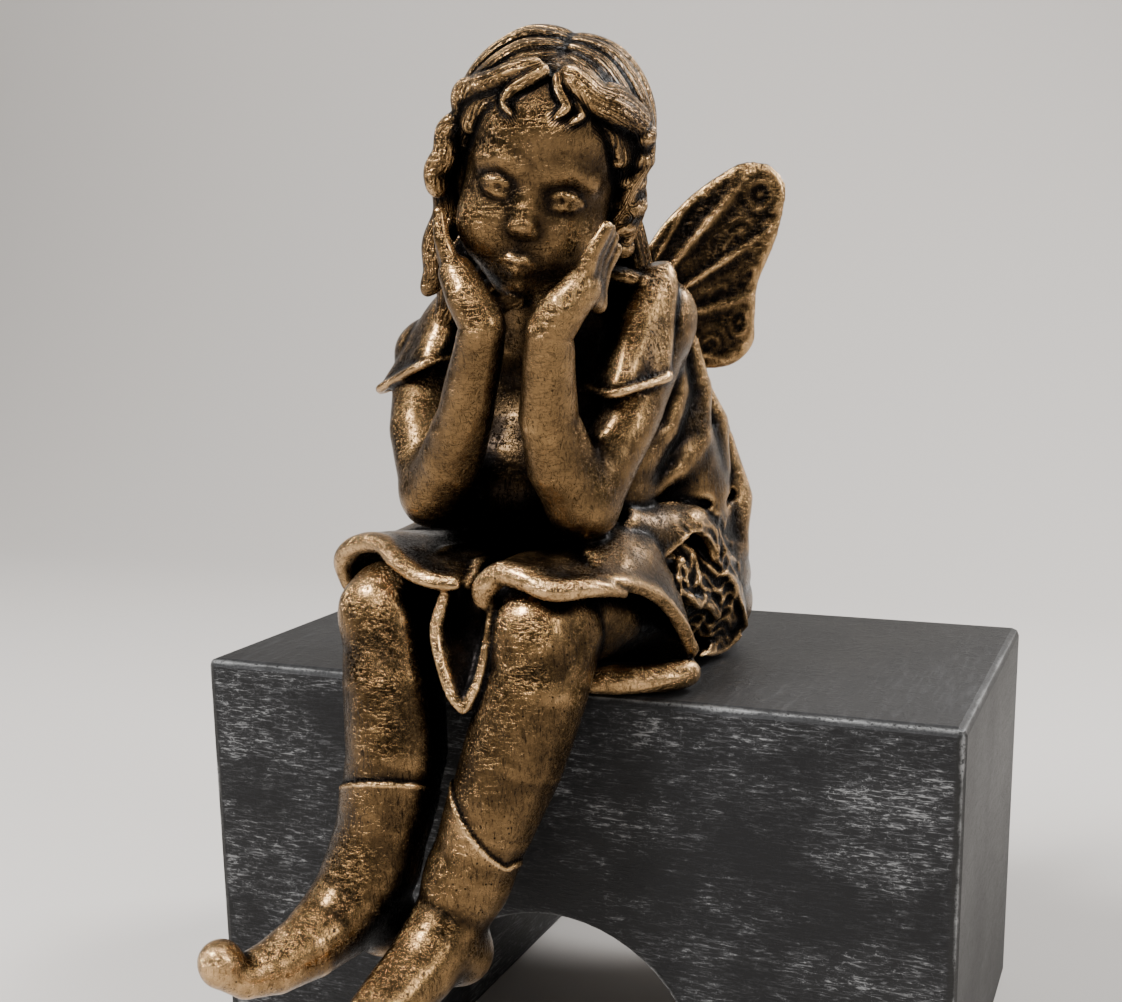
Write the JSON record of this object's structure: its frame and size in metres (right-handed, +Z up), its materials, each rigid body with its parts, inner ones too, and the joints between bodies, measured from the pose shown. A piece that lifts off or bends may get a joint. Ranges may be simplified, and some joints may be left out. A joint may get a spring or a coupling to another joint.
{
  "type": "concrete angel statue",
  "caption": "Garden statue of a seated winged child, chin in hands, on a rectangular bench with an arch through it, cast in concrete with bronze and graphite paint.",
  "frame": {"origin": "the middle of the whole statue's box, on the ground that the bench stands on", "axes": "+Z up, the child's legs hang towards -Y, +X along the bench to the child's left"},
  "size_m": [0.4, 0.3526, 0.5194],
  "materials": {
    "bronze_paint": "dark bronze paint with gold rubbed over the raised parts, soft gloss",
    "graphite_paint": "graphite black paint with silver dry-brushed streaks, satin"
  },
  "bodies": {
    "root": {"seated_figure": "bronze_paint", "arched_bench": "graphite_paint"}
  },
  "joints": []
}
